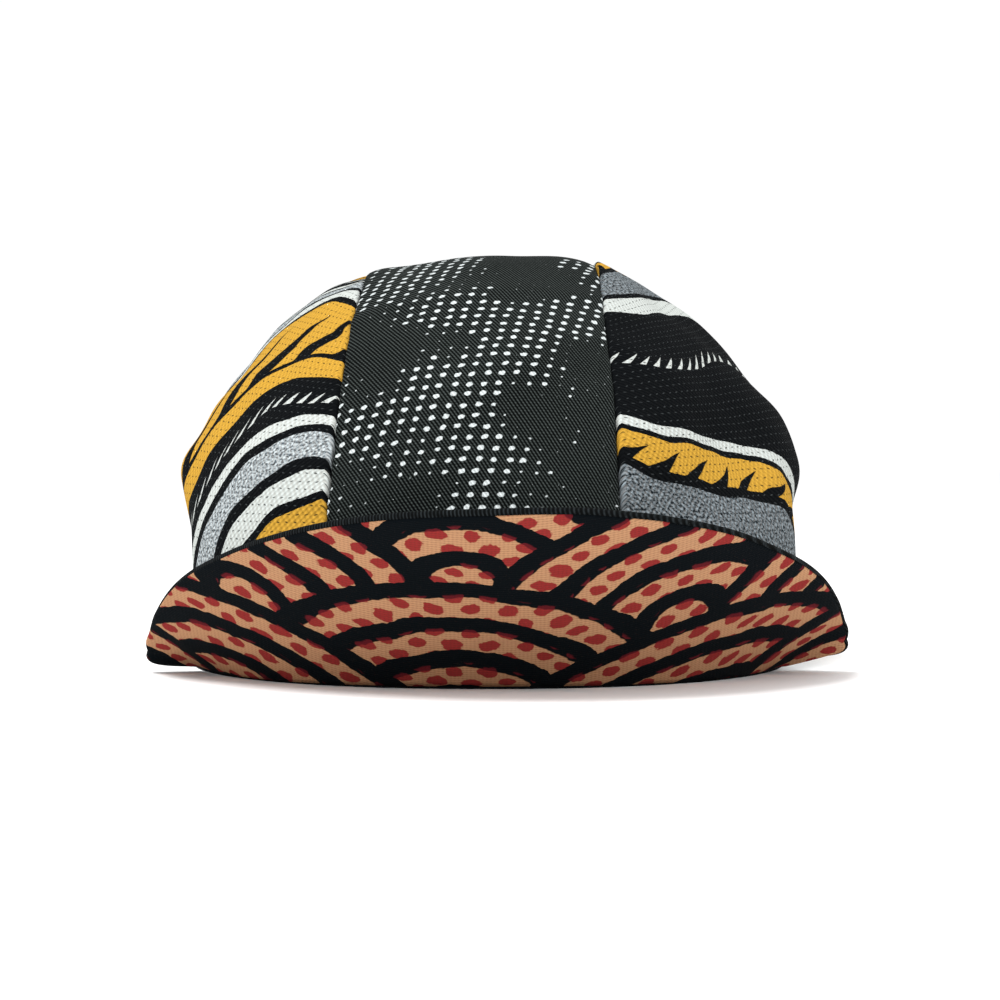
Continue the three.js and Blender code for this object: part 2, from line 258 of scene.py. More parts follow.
def grid_quads(rows, columns, ring=False):
    """Corner numbers of the quads between neighbours of a grid; a ring joins last row to first."""
    i, j = np.meshgrid(np.arange(rows if ring else rows - 1), np.arange(columns - 1), indexing="ij")
    i, j = i.ravel(), j.ravel()
    after = (i + 1) % rows
    corners = [(i, j), (after, j), (after, j + 1), (i, j + 1)]
    return np.stack([row * columns + column for row, column in corners], axis=1)


def grid_object(name, points, flat, ring=False, flip=False):
    """Object of a grid of points, with its place on the flat cloth as UV map `cloth`."""
    rows, columns = points.shape[:2]
    quads = grid_quads(rows, columns, ring)
    flat_quads = quads
    if ring:
        flat_quads = grid_quads(rows + 1, columns)
    if flip:
        quads, flat_quads = quads[:, ::-1], flat_quads[:, ::-1]
    mesh = bpy.data.meshes.new(name)
    mesh.from_pydata((points + rim_middle).reshape(-1, 3), [], quads)
    layer = mesh.uv_layers.new(name="cloth")
    layer.uv.foreach_set("vector", flat.reshape(-1, 2)[flat_quads.ravel()].astype(np.float32).ravel())
    mesh.shade_smooth()
    piece = bpy.data.objects.new(name, mesh)
    bpy.context.scene.collection.objects.link(piece)
    return piece


def lengths_along(points, axis):
    """Distance walked along one axis of a grid, from its first point."""
    steps = np.linalg.norm(np.diff(points, axis=axis), axis=-1)
    start = np.zeros_like(np.take(steps, [0], axis=axis))
    return np.concatenate([start, np.cumsum(steps, axis=axis)], axis=axis)


def merge_doubles(piece, closed=False):
    """Merge points closer than a hundredth of a millimetre, and face a closed mesh outwards."""
    mesh = bmesh.new()
    mesh.from_mesh(piece.data)
    bmesh.ops.remove_doubles(mesh, verts=mesh.verts, dist=MERGE_DISTANCE)
    if closed:
        bmesh.ops.recalc_face_normals(mesh, faces=mesh.faces)
    mesh.to_mesh(piece.data)
    mesh.free()
    piece.data.shade_smooth()


def thicken(piece):
    """Give an outer face its wall, inwards, with the second material slot on the inside."""
    wall = piece.modifiers.new("wall", "SOLIDIFY")
    wall.thickness = CLOTH * SHEET_SHARE
    wall.offset = -1
    wall.use_even_offset = True
    wall.material_offset = 1
    wall.material_offset_rim = 1


print("a grid of 3 rows and 4 columns has", len(grid_quads(3, 4)), "quads")


# %% [markdown]
# Cloth is never quite smooth. Worn and washed panels have slow swells a few centimetres long, and
# the thread of a seam pulls the cloth beside it into short puckers. Both are sums of sine waves
# with fixed random directions, which a seed keeps the same in every run.

# %% Swells and puckers
def swells(points, size, height, seed):
    """Slow relief: twelve sine waves of about one wave length, in random directions in space."""
    random = np.random.default_rng(seed)
    total = np.zeros(points.shape[:-1])
    for _ in range(12):
        way = unit(random.normal(size=3))
        length = size * random.uniform(0.7, 1.5)
        total += np.sin(2 * math.pi * points @ way / length + random.uniform(0, 2 * math.pi))
    return height * total / 12 ** 0.5


def relief_of(points, rows, turn=0):
    """Sum of swells, one for each row of wave length, height and seed."""
    return sum(swells(points, size, height, seed + turn) for size, height, seed in rows)


def puckers(along, from_seam, size, height, reach, seed):
    """Short ripples square to a seam, uneven in length and height, that die out away from it."""
    random = np.random.default_rng(seed)
    uneven = np.zeros_like(along)
    for k in range(1, 5):
        share = random.uniform(0.3, 1) / k
        uneven += share * np.sin(along / (size * (0.9 + 0.8 * k)) + random.uniform(0, 6))
    wave = np.sin(2 * math.pi * along / size + 2.2 * uneven)
    strength = 0.55 + 0.45 * np.sin(along / (3.1 * size) + random.uniform(0, 6))
    return height * wave * strength * np.exp(-from_seam / reach)


# %% [markdown]
# Cloth that was folded flat and opened again keeps a few soft creases. Each is a low ridge, a few
# centimetres long and under a centimetre wide, that fades out at both ends. A few single bulges and
# dents make the two sides differ, as they do on a real cap.

# %% Soft creases
def creases(points, middles, ways, height, width, length):
    """Ridges: a bell curve across each crease, times a wider one along it."""
    total = np.zeros(points.shape[:-1])
    for middle, way in zip(middles, ways):
        offset = points - np.array(middle)
        along = (offset * unit(np.array(way, float))).sum(-1)
        across = np.sqrt(np.maximum((offset ** 2).sum(-1) - along ** 2, 0))
        total += height * np.exp(-(across / width) ** 2 - (along / length) ** 2)
    return total


# Middle in metres, reach and height of each: the strip's raised edges, the right shoulder that
# falls away from the seam, and the hollows of the slack left side.
LOOSE_SPOTS = [
    (0.024, 0.0, 0.109, 0.012, 0.0016), (-0.031, 0.0, 0.106, 0.006, 0.0010),
    (0.050, 0.0, 0.100, 0.014, -0.0018), (0.064, 0.0, 0.089, 0.012, -0.0019),
    (0.077, 0.0, 0.067, 0.008, 0.0004), (-0.081, 0.0, 0.064, 0.010, -0.0017),
    (-0.083, 0.0, 0.034, 0.012, -0.0036),
]


def loose_spots(points):
    """Height of all loose spots: bell curves, longer from front to back."""
    total = np.zeros(points.shape[:-1])
    for x, y, z, reach, height in LOOSE_SPOTS:
        offset = (points - np.array([x, y, z])) / np.array([reach, reach * SPOT_STRETCH, reach])
        total += height * np.exp(-(offset ** 2).sum(-1))
    return total


# Middles on the right side in metres, and ways; the left side mirrors them and turns them a little.
CREASE_MIDDLES = [
    (0.079, -0.045, 0.046), (0.082, 0.020, 0.030), (0.074, 0.062, 0.055), (0.071, -0.022, 0.081),
    (0.060, 0.052, 0.092), (0.062, 0.078, 0.026), (0.081, -0.010, 0.052),
]
CREASE_WAYS = [
    (-0.3, 0.5, 0.8), (0.0, 1.0, 0.35), (-0.4, 0.5, -0.7), (-0.5, 0.9, 0.3),
    (-0.6, 0.8, 0.1), (-0.5, 0.6, 0.5), (-0.1, 0.9, -0.5),
]

# %% [markdown]
# A seam is two edges turned in and sewn face to face on the inside. From outside it is a fine
# groove: the cloth rolls over a small radius and dives in. So each panel's grid runs a little past
# its seam, where it rolls in and then drops as a seam allowance of a few millimetres.

# %% Turned-in seam edge
SEAM_ROLL = 0.0009
SEAM_ALLOWANCE = 0.0035
SEAM_SINK = 0.00035
SEAM_SINK_REACH = 0.0022
SEAM_SPLIT = 0.00006
ALLOWANCE_CLEAR = 0.004
ALLOWANCE_BEHIND_BAND = 0.1
SEWN_HEIGHT, SEWN_RISE = 0.004, 0.008

roll_angles = np.radians([22.5, 45, 67.5, 90])


def turned_edge(edge, normal, outward):
    """Columns past a seam edge: a quarter circle from the face down, then a straight drop, which
    is short behind the band. The edge point lies one roll radius before the seam."""
    inward = -normal
    roll = [edge + SEAM_ROLL * (np.sin(a) * outward + (1 - np.cos(a)) * inward) for a in roll_angles]
    over_band = soft_step(BAND_HEIGHT + ALLOWANCE_CLEAR, 0.005, edge[:, 2:])
    allowance = SEAM_ALLOWANCE * (ALLOWANCE_BEHIND_BAND + (1 - ALLOWANCE_BEHIND_BAND) * over_band)
    drop = [roll[-1] + share * allowance * inward for share in (0.4, 1.0)]
    return np.stack(roll + drop, axis=1)


def above_foot(points):
    """Share of the relief at a height: none where the cloth is sewn to the band's foot."""
    return soft_step(SEWN_HEIGHT, SEWN_RISE, points[..., 2])


def seam_offset(over, side):
    """Distance of a seam from the middle plane: half the strip's width there, and its shift."""
    width = np.interp(over, *np.array(STRIP_WIDTHS).T)
    return side * width / 2 - STRIP_SHIFT * (1 - over / 180)


# %% [markdown]
# The centre strip is one piece of black twill, printed with small white dots. Its grid has a row
# every half degree or so over the top and even columns from seam to seam. It bends like a sheet,
# so besides the slow swells it has one soft crease where the strip turns from the forehead to the top.

# %% Centre strip
STRIP_ROWS, STRIP_COLUMNS = 360, 96
CREASE_OVER, CREASE_TURN, CREASE_SPREAD, CREASE_HEIGHT = 66, 5, 3.0, 0.0005
# Wave length, height and seed.
STRIP_SWELLS = [(0.055, 0.0008, 3), (0.022, 0.00022, 4)]
# Length, height and reach of the ripples at a seam, and seed.
LEFT_PUCKERS, RIGHT_PUCKERS = (0.011, 0.00022, 0.007, 5), (0.012, 0.00022, 0.007, 6)


def centre_strip():
    """The strip: rows over the top, columns from the left seam to the right one."""
    over = np.linspace(0, 180, STRIP_ROWS)[:, None]
    left = seam_offset(over, -1) + SEAM_SPLIT + SEAM_ROLL
    right = seam_offset(over, 1) - SEAM_SPLIT - SEAM_ROLL
    across = np.linspace(0, 1, STRIP_COLUMNS)[None, :]
    direction = direction_at_x(left + (right - left) * across, over + 0 * across)
    points, normal = crown_outer(direction), crown_normal(direction)
    along = lengths_along(points, 0)
    side_to_side = lengths_along(points, 1)
    width = side_to_side[:, -1:]
    from_seam = np.minimum(side_to_side, width - side_to_side)
    relief = relief_of(points, STRIP_SWELLS) + loose_spots(points)
    is_left = side_to_side < width / 2
    relief += np.where(is_left, puckers(along, from_seam, *LEFT_PUCKERS),
                       puckers(along, from_seam, *RIGHT_PUCKERS))
    crease = (over - CREASE_OVER - CREASE_TURN * across) / CREASE_SPREAD
    relief += CREASE_HEIGHT * np.exp(-crease ** 2)
    relief *= above_foot(points)
    relief -= SEAM_SINK * np.exp(-from_seam / SEAM_SINK_REACH)
    points = points + normal * relief[..., None]
    right_edge = turned_edge(points[:, -1], normal[:, -1], unit(points[:, -1] - points[:, -2]))
    left_edge = turned_edge(points[:, 0], normal[:, 0], unit(points[:, 0] - points[:, 1]))
    points = np.concatenate([left_edge[:, ::-1], points, right_edge], axis=1)
    spine = lengths_along(points, 0)[:, points.shape[1] // 2][:, None]
    side_to_side = lengths_along(points, 1)
    flat = np.stack([side_to_side - side_to_side[:, -1:] / 2, spine + 0 * side_to_side], axis=-1)
    return grid_object("crown_centre_cloth", points, flat, flip=True)


centre_cloth = centre_strip()
thicken(centre_cloth)
print("centre strip:", len(centre_cloth.data.polygons), "quads")

# %% [markdown]
# A side panel is a half-moon: its straight edge is the rim and its round edge the seam. A grid
# needs four sides, so the seam is split into a front, a top and a back stretch, and the directions
# between the four sides are blended into the field between them. The print is laid out on the
# panel as it was cut: distances from its middle are walked along the bulge, not across it.

# %% The side panels' directions
SIDE_ROWS, SIDE_COLUMNS = 250, 150
SEAM_FRONT_ANGLE, SEAM_BACK_ANGLE = 60, 130


def blend_sides(bottom, ceiling, front, back):
    """Blended patch: both blends of opposite sides, less the blend of the four corners."""
    u = np.linspace(0, 1, len(bottom))[:, None, None]
    v = np.linspace(0, 1, len(front))[None, :, None]
    between = (1 - v) * bottom[:, None] + v * ceiling[:, None] + (1 - u) * front[None] + u * back[None]
    corners = (1 - u) * (1 - v) * bottom[0] + u * (1 - v) * bottom[-1]
    corners = corners + (1 - u) * v * ceiling[0] + u * v * ceiling[-1]
    return unit(between - corners)


def side_directions(side):
    """Directions of a side panel's grid: rows from front to back, columns from rim to seam."""
    inset = side * (SEAM_SPLIT + SEAM_ROLL)

    def seam(over):
        return direction_at_x(seam_offset(over, side) + inset, over)

    u, v = np.linspace(0, 1, SIDE_ROWS), np.linspace(0, 1, SIDE_COLUMNS)
    first, last = np.degrees(np.arcsin(seam(np.array([0.0, 180.0]))[:, 0]))
    rim = direction_round(first + (side * 180 - last - first) * u)
    ceiling = seam(SEAM_FRONT_ANGLE + (SEAM_BACK_ANGLE - SEAM_FRONT_ANGLE) * u)
    front = seam(SEAM_FRONT_ANGLE * v)
    back = seam(180 + (SEAM_BACK_ANGLE - 180) * v)
    return blend_sides(rim, ceiling, front, back)


# %% The side panels' cut and relief
PANEL_MIDDLE = (0.004, 0.042)
# Wave length, height and seed of the swells, and length, height and reach of the puckers.
SIDE_SWELLS = [(0.048, 0.0010, 20), (0.02, 0.0003, 30)]
SIDE_PUCKERS = (0.012, 0.00035, 0.009)
# Height, width and length of a crease.
CREASE_SIZES = (0.0011, 0.0055, 0.022)
GATHER_LENGTH, GATHER_HEIGHT, GATHER_REACH = 0.014, 0.0005, 0.010


def lay_flat(points, side):
    """Place on the cut panel: the way from its middle, as long as the arc that bulges over it."""
    middle = np.array([side * CROWN_HALF_WIDTH, *PANEL_MIDDLE])
    beside = np.stack([-side * (points[..., 1] - middle[1]), points[..., 2] - middle[2]], axis=-1)
    level = np.linalg.norm(beside, axis=-1) + 1e-9
    sunk = np.abs(points[..., 0] - middle[0])
    bend = np.arctan2(sunk, level)
    arc = np.hypot(level, sunk) * bend / np.maximum(np.sin(bend), 1e-6)
    return beside * (np.where(bend > 1e-4, arc, level) / level)[..., None]


def side_panel(side):
    """A side panel's points with their relief, their ways out and their places on the cut cloth."""
    direction = side_directions(side)
    points, normal = crown_outer(direction), crown_normal(direction)
    over = np.degrees(np.arctan2(points[..., 2], -points[..., 1]))
    from_seam = np.maximum(side * (points[..., 0] - seam_offset(over, side)), 0)
    along = RIM_HALF_LENGTH * np.radians(over)
    relief = relief_of(points, SIDE_SWELLS, side)
    relief += puckers(along, from_seam, *SIDE_PUCKERS, 40 + side)
    mirrored = np.array([side, 1, 1])
    middles = np.array(CREASE_MIDDLES) * mirrored + [0, 0.004 * side, -0.003 * side]
    ways = np.array(CREASE_WAYS) * mirrored + [0, 0, 0.1 * side]
    relief += creases(points, middles, ways, *CREASE_SIZES) + loose_spots(points)
    relief *= above_foot(points)
    relief += rim_gathers(points, 50 + side)
    relief -= SEAM_SINK * np.exp(-from_seam / SEAM_SINK_REACH)
    points = points + normal * relief[..., None]
    return points, normal, lay_flat(points, side)


def rim_gathers(points, seed):
    """Small ripples where the panel is sewn to the shorter band, gone two centimetres up."""
    around = np.arctan2(points[..., 0], -points[..., 1]) * RIM_HALF_WIDTH
    fade = soft_step(0.003, 0.006, points[..., 2]) * np.exp(-points[..., 2] / GATHER_REACH)
    return puckers(around, 0 * around, GATHER_LENGTH, GATHER_HEIGHT, 1.0, seed) * fade


# %% The side panels' turned edge and objects
def seam_line(grid, inside=0):
    """A grid's seam edge as one line, up the front, over the top and down the back, or the line
    that lies one point inside it."""
    ends = grid[inside], grid[-1 - inside, ::-1]
    return np.concatenate([ends[0], grid[1:-1, -1 - inside], ends[1]])


def join_grids(name, grids):
    """One object from several grids, with the points that they share merged."""
    parts = [grid_object(name, *grid) for grid in grids]
    with bpy.context.temp_override(active_object=parts[0], selected_editable_objects=parts):
        bpy.ops.object.join()
    merge_doubles(parts[0])
    return parts[0]


def side_cloth(name, side):
    """A side panel's object: its face, and the strip of edge turned in along the seam."""
    points, normal, flat = side_panel(side)
    edge, slope = seam_line(points), seam_line(normal)
    outward = unit(np.cross(unit(np.gradient(edge, axis=0)), slope))
    outward *= np.sign(dot(outward, edge - seam_line(points, inside=1)))
    turned = np.concatenate([edge[:, None], turned_edge(edge, slope, outward)], axis=1)
    depth = lengths_along(turned, 1)
    turned_flat = seam_line(flat)[:, None, :] + depth[..., None] * np.array([0.0, 1.0])
    return join_grids(name, [(points, flat, False, side < 0), (turned, turned_flat, False, side < 0)])


left_cloth = side_cloth("crown_left_cloth", -1)
right_cloth = side_cloth("crown_right_cloth", 1)
for cloth in (left_cloth, right_cloth):
    thicken(cloth)
print("side panels:", len(left_cloth.data.polygons), "quads each")

# %% [markdown]
# The band is a folded strip of black cotton sewn in under the rim. It stands inside the crown, and
# its fold turns out under the crown's cloth, where it shows as a thin dark line on the table.

# %% Headband
BAND_ROWS = 420
BAND_WAVE = 0.00025


def headband():
    """Ring of one closed section: the rounded foot, the outer wall up, the hem and back down."""
    around = np.linspace(0, 360, BAND_ROWS, endpoint=False)
    behind = CLOTH + BAND_GAP
    foot = [(0.35, 0), (0.1, 0.12), (0, 0.45), (0.1, 0.85), (0.4, 1), (behind / CLOTH - 0.3, 1)]
    foot_fold = [(depth * CLOTH, height * CLOTH) for depth, height in foot] + [(behind, 1.5 * CLOTH)]
    up = [(behind, h) for h in np.linspace(0.12, 0.95, 9) * BAND_HEIGHT]
    hem = [(behind + CLOTH * (0.5 - 0.5 * math.cos(a)), BAND_HEIGHT * 0.95 + CLOTH * math.sin(a))
           for a in np.linspace(0.3, math.pi - 0.3, 6)]
    down = [(behind + CLOTH, h) for h in np.linspace(0.95, 0.06, 9) * BAND_HEIGHT]
    under = [(behind + 0.95 * CLOTH, 0.5 * CLOTH), (behind + 0.6 * CLOTH, 0.0)]
    section = np.array(foot_fold + up + hem + down + under)
    depth, height = np.concatenate([section, section[:1]]).T[:, None, :]
    level = direction_at_height(around[:, None], np.maximum(height, 2 * CLOTH))
    points = crown_outer(level) - crown_normal(level) * depth[..., None]
    points[..., 2] = height + 0 * points[..., 2]
    wave = BAND_WAVE * np.abs(np.sin(np.radians(around) * 23 + 2 * np.sin(np.radians(around) * 5)))
    outward = unit(points * np.array([1, 1, 0]))
    points = points - outward * (wave[:, None] * soft_step(0.006, 0.012, height))[..., None]
    along = lengths_along(np.concatenate([points[:, 0], points[:1, 0]]), 0)
    flat = np.stack(np.broadcast_arrays(along[:, None], lengths_along(points[:1], 1)), axis=-1)
    piece = grid_object("headband_cloth", points, flat, ring=True)
    merge_doubles(piece, closed=True)
    return piece


band_cloth = headband()
print("headband:", len(band_cloth.data.polygons), "quads")

# %% [markdown]
# The peak is a stiff crescent between two cloth covers. A sheet of straight rulings runs from the
# root on the rim to the edge, and the covers lie on both sides of it. The black top cover rolls
# round the edge and ends below it, and the printed cover is turned in just inside that roll.


# %% The peak's sheet
def root_start(around):
    """Start of the peak on the rim, clear of the crown's wall from its foot up."""
    level = direction_round(around)
    normal = crown_normal(level)
    start = crown_outer(level)
    above = crown_outer(direction_at_height(around, PEAK_ROOT_HEIGHT + 2 * CLOTH))
    start = start + normal * (np.maximum(0, dot(above - start, normal)) + GAP)
    start[..., 2] = PEAK_ROOT_HEIGHT
    return start


def peak_sections(root):
    """Start, way and length of the peak's sections at shares of the root."""
    size = np.abs(root)
    turn = smooth_table(PEAK_SECTIONS, size, 1) * np.sign(root)
    rise = np.radians(smooth_table(PEAK_SECTIONS, size, 3))[..., None]
    way = direction_round(turn) * np.cos(rise) + np.array([0, 0, 1]) * np.sin(rise)
    return root_start(root * PEAK_END_ANGLE), way, PEAK_DEPTH * smooth_table(PEAK_SECTIONS, size, 2)


def peak_sheet(root, deep):
    """Point between the covers: along the section's way, lifted on the right and shifted."""
    start, way, length = peak_sections(root)
    points = start + way * (length * deep)[..., None]
    points[..., 2] += PEAK_LIFT * deep * (1 + points[..., 0] / RIM_HALF_WIDTH)
    points[..., 0] += PEAK_SHIFT * deep
    return points


def peak_frame(root, deep):
    """The sheet's points, the way across it, and the offset that thickens it: upright at the
    root, against the crown, and square to the sheet further out."""
    step = 0.004
    points = peak_sheet(root, deep)
    across = peak_sheet(np.minimum(1, root + step), deep) - peak_sheet(np.maximum(-1, root - step), deep)
    across = unit(across)
    _, way, length = peak_sections(root)
    square = unit(np.cross(way, across))
    upright = np.array([0, 0, 1]) / square[..., 2:]
    far = soft_step(PEAK_DEPTH / 20, PEAK_DEPTH / 10, length * deep)[..., None]
    return points, across, upright * (1 - far) + square * far, square


PEAK_ROWS, PEAK_COLUMNS, LINING_COLUMNS = 300, 60, 8
LIP_REACH = 0.0012
LIP_LEAN = 0.3
PEAK_SWELLS = [(0.05, 0.00035, 71), (0.015, 0.00006, 72)]
COVER_HEIGHT = GAP / 2 + CLOTH
root_shares = np.sin(np.linspace(-math.pi / 2, math.pi / 2, PEAK_ROWS))
edge_root = root_shares[:, None]
edge_points, edge_across, edge_square, _ = peak_frame(edge_root, np.ones_like(edge_root))
edge_outward = unit(np.cross(edge_across, edge_square))
print("peak edge is", round(1000 * float(lengths_along(edge_points[:, 0], 0)[-1]), 1), "mm long")


# %% The peak's covers
def peak_flat(points):
    """Place on the cut cover: across the cap, and up the slope of the peak's middle."""
    rise = math.radians(PEAK_SECTIONS[0][3])
    up_slope = -(points[..., 1] + RIM_HALF_LENGTH) * math.cos(rise) + points[..., 2] * math.sin(rise)
    return np.stack([points[..., 0], up_slope], axis=-1)


def peak_face(over, columns=PEAK_COLUMNS):
    """Grid of a cover's face at a height over the sheet, from the root to the edge."""
    root, deep = np.meshgrid(root_shares, np.linspace(0, 1, columns) ** 0.9, indexing="ij")
    points, _, offset, _ = peak_frame(root, deep)
    relief = relief_of(points, PEAK_SWELLS) * soft_step(0.1, 0.2, deep)
    return points + offset * (over + relief)[..., None]


def peak_roll(turns, out, over):
    """Grid of a roll round the edge: an oval of two reaches, turned down from the face."""
    angle = np.radians(turns)[None, :, None]
    relief = relief_of(edge_points, PEAK_SWELLS)[..., None]
    raised = edge_points + edge_square * (over * np.sin(angle) + relief)
    return raised + edge_outward * out * np.cos(angle)


def peak_top():
    """Top cover: face, roll down round the edge, and back up inside it to the root."""
    reach = LIP_REACH * (1 + LIP_LEAN * edge_root[:, :, None])
    outer_roll = peak_roll(np.linspace(80, -50, 13), reach, COVER_HEIGHT)
    inner_roll = peak_roll(np.linspace(-50, 60, 5), GAP / 2, GAP)
    lining = peak_face(GAP / 2, LINING_COLUMNS)[:, ::-1]
    return closed_cover("peak_top_cloth", [peak_face(COVER_HEIGHT), outer_roll, inner_roll, lining])


def peak_under():
    """Under cover: face below the sheet, its edge turned up just inside the top cover's roll."""
    edge_roll = peak_roll(np.linspace(-80, -12, 9), LIP_REACH - GAP, COVER_HEIGHT)
    lining = peak_face(-GAP / 2, LINING_COLUMNS)[:, ::-1]
    return closed_cover("peak_under_cloth", [peak_face(-COVER_HEIGHT), edge_roll, lining])


def closed_cover(name, stretches):
    """A cover as a loop of sections whose ends are drawn in to a point, so it has no open end."""
    points = np.concatenate([*stretches, stretches[0][:, :1]], axis=1)
    ends = points[:1], points[-1:]
    tips = [end[:, :-1].mean(axis=1, keepdims=True) + 0 * end for end in ends]
    soft = [0.85 * end + 0.15 * tip for end, tip in zip(ends, tips)]
    points = np.concatenate([tips[0], soft[0], points, soft[1], tips[1]], axis=0)
    piece = grid_object(name, points, peak_flat(points))
    merge_doubles(piece, closed=True)
    return piece


top_cloth = peak_top()
under_cloth = peak_under()
print("peak covers:", len(top_cloth.data.polygons), "and", len(under_cloth.data.polygons), "faces")

# %% [markdown]
# Every piece stands for one node of the frame and rides on the only body.

# %% Pieces to nodes
pieces = [
    (centre_cloth, "crown_centre_panel", "centre_twill"),
    (left_cloth, "crown_left_panel", "left_mesh"),
    (right_cloth, "crown_right_panel", "right_mesh"),
    (band_cloth, "headband", "band_cotton"),
    (top_cloth, "peak_top_cover", "peak_top_twill"),
    (under_cloth, "peak_under_cover", "peak_under_twill"),
]
for piece, node, slot in pieces:
    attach(piece, "root")
    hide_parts(node)
print("pieces:", [piece.name for piece, _, _ in pieces])

# %% [markdown]
# The finishes are worked out in small fields of numbers over the flat cloth, in millimetres. A
# field is a socket of a shader node, and arithmetic on it adds math nodes, so a pattern reads as
# its formula. Colours are given as they look on screen and turned linear. An image texture would do
# it too, but a formula stays sharp from near by. Cotton and polyester yarn are rough and have hardly
# any mirror gloss, so the black stays black under a white sky.

# %% Colours and fields
def linear(hex_colour):
    """sRGB hex to a linear colour with alpha one."""
    parts = [int(hex_colour[k:k + 2], 16) / 255 for k in (0, 2, 4)]
    return [p / 12.92 if p <= 0.04045 else ((p + 0.055) / 1.055) ** 2.4 for p in parts] + [1.0]


def add_node(tree, kind, inputs=(), **settings):
    """Add a node with its settings. Inputs, in order or by name, are fields, colours or numbers."""
    node = tree.nodes.new(kind)
    for name, value in settings.items():
        setattr(node, name, value)
    pairs = inputs.items() if isinstance(inputs, dict) else enumerate(inputs)
    for key, value in pairs:
        if isinstance(value, Field):
            tree.links.new(value.socket, node.inputs[key])
        else:
            node.inputs[key].default_value = linear(value) if isinstance(value, str) else value
    return node


class Field:
    """A value that varies over the cloth; arithmetic on it adds the nodes that work it out."""

    def __init__(self, socket):
        self.socket = socket
        self.tree = socket.id_data

    def math(self, operation, *others, clamp=False):
        settings = {"operation": operation, "use_clamp": clamp}
        return Field(add_node(self.tree, "ShaderNodeMath", [self, *others], **settings).outputs[0])

    def __add__(self, other):
        return self.math("ADD", other)

    def __sub__(self, other):
        return self.math("SUBTRACT", other)

    def __mul__(self, other):
        return self.math("MULTIPLY", other)

    def __truediv__(self, other):
        return self.math("DIVIDE", other)

    def wave(self, length):
        """Cosine from minus one to one with a wave length."""
        return (self * (2 * math.pi / length)).math("COSINE")

    def below(self, limit, soft):
        """One under a limit and zero over it, with a soft step as wide as said."""
        return (self * (-1 / soft) + (limit * (1 / soft) + 0.5)).clamped()

    def clamped(self):
        """The field held between zero and one."""
        return self.math("ADD", 0.0, clamp=True)

    def rest(self):
        """What the field leaves to one."""
        return self * -1.0 + 1.0


def flat_place(tree):
    """The place on the flat cloth, from the UV map, as two fields in millimetres."""
    uv = add_node(tree, "ShaderNodeUVMap", uv_map="cloth")
    parts = add_node(tree, "ShaderNodeSeparateXYZ", [Field(uv.outputs[0])])
    return Field(parts.outputs[0]) * 1000, Field(parts.outputs[1]) * 1000


def cloud(x, y, size, seed, detail=1.0):
    """Smooth random field, mostly between minus one and one, with lumps of a size."""
    at = add_node(x.tree, "ShaderNodeCombineXYZ", [x / size, y / size, float(seed)])
    links = {"Vector": Field(at.outputs[0]), "Scale": 1.0, "Detail": detail}
    noise = add_node(x.tree, "ShaderNodeTexNoise", links)
    return (Field(noise.outputs[0]) - 0.5) * 4


def mix(share, first, second):
    """Colour between two colours or fields of colour."""
    node = add_node(share.tree, "ShaderNodeMix", {0: share, 6: first, 7: second}, data_type="RGBA")
    return Field(node.outputs[2])


def cloth_material(name, draw, roughness=0.85, gloss=0.012, sheen=0.006):
    """Cloth whose colour and whose height in millimetres are drawn by a function of the place."""
    material = bpy.data.materials.new(name)
    material.use_nodes = True
    tree = material.node_tree
    colour, height = draw(*flat_place(tree))
    shader = tree.nodes["Principled BSDF"]
    tree.links.new(colour.socket, shader.inputs["Base Color"])
    bump = add_node(tree, "ShaderNodeBump", {"Strength": 1.0, "Distance": 0.001, "Height": height})
    tree.links.new(bump.outputs[0], shader.inputs["Normal"])
    shader.inputs["Roughness"].default_value = roughness
    shader.inputs["Specular IOR Level"].default_value = gloss
    shader.inputs["Sheen Weight"].default_value = sheen
    shader.inputs["Sheen Roughness"].default_value = 0.6
    return material


print("screen grey 808080 is", round(linear("808080")[0], 3), "in linear light")


# %% [markdown]
# Twill is woven so that its threads step sideways row by row, which gives slanted ribs. Here they
# run steeply down to the right, under a millimetre apart. The ribs are round ridges of charcoal
# yarn over nearly black furrows, crossed by the fine steps of the single threads. Their colour
# follows the height: painted shade darkens the furrows and painted light brightens the ribs. Real
# threads are finer, but steps under about a millimetre wouldn't show at this distance.

# %% Twill
RIB_ANGLE = math.radians(30)
RIB_PITCH = 0.84
THREAD_STEP = 0.95
# Colour of the furrows, which is painted shade, of the ribs, which is charcoal yarn with painted light,
# and of lint.
SHADED_FURROW, LIT_RIB, LINT = "030404", "3F4543", "8C9492"


def twill(x, y, pitch=RIB_PITCH, shaded_furrow=SHADED_FURROW, lit_rib=LIT_RIB):
    """Colour and height of twill: a raised cosine across the ribs, cut by the threads' steps.
    The colour follows the height, as painted shade in the furrows and painted light on the ribs.
    """
    bend = cloud(x, y, 9.0, 2.0) * 0.10
    across = x * math.cos(RIB_ANGLE) + y * math.sin(RIB_ANGLE) + bend
    along = y * math.cos(RIB_ANGLE) - x * math.sin(RIB_ANGLE)
    ridge = across.wave(pitch) * 0.5 + 0.5
    steps = (along + across * 0.5).wave(THREAD_STEP) * 0.5 + 0.5
    worn = cloud(x, y, 0.8, 5.0) * 0.2 + cloud(x, y, 26.0, 6.0) * 0.12
    # Painted light on the ribs and thread steps, painted shade in the furrows, and random wear on the
    # ribs.
    lit = (ridge.math("POWER", 2.3) * (steps * 0.75 + 0.45) + ridge * worn).clamped()
    lint = cloud(x, y, 1.1, 7.0).below(1.18, 0.1) * -0.5 + 0.5
    return mix(lint, mix(lit, shaded_furrow, lit_rib), LINT), ridge * 0.16 + steps * 0.03


print("twill ribs to a centimetre:", round(10 / RIB_PITCH, 1))


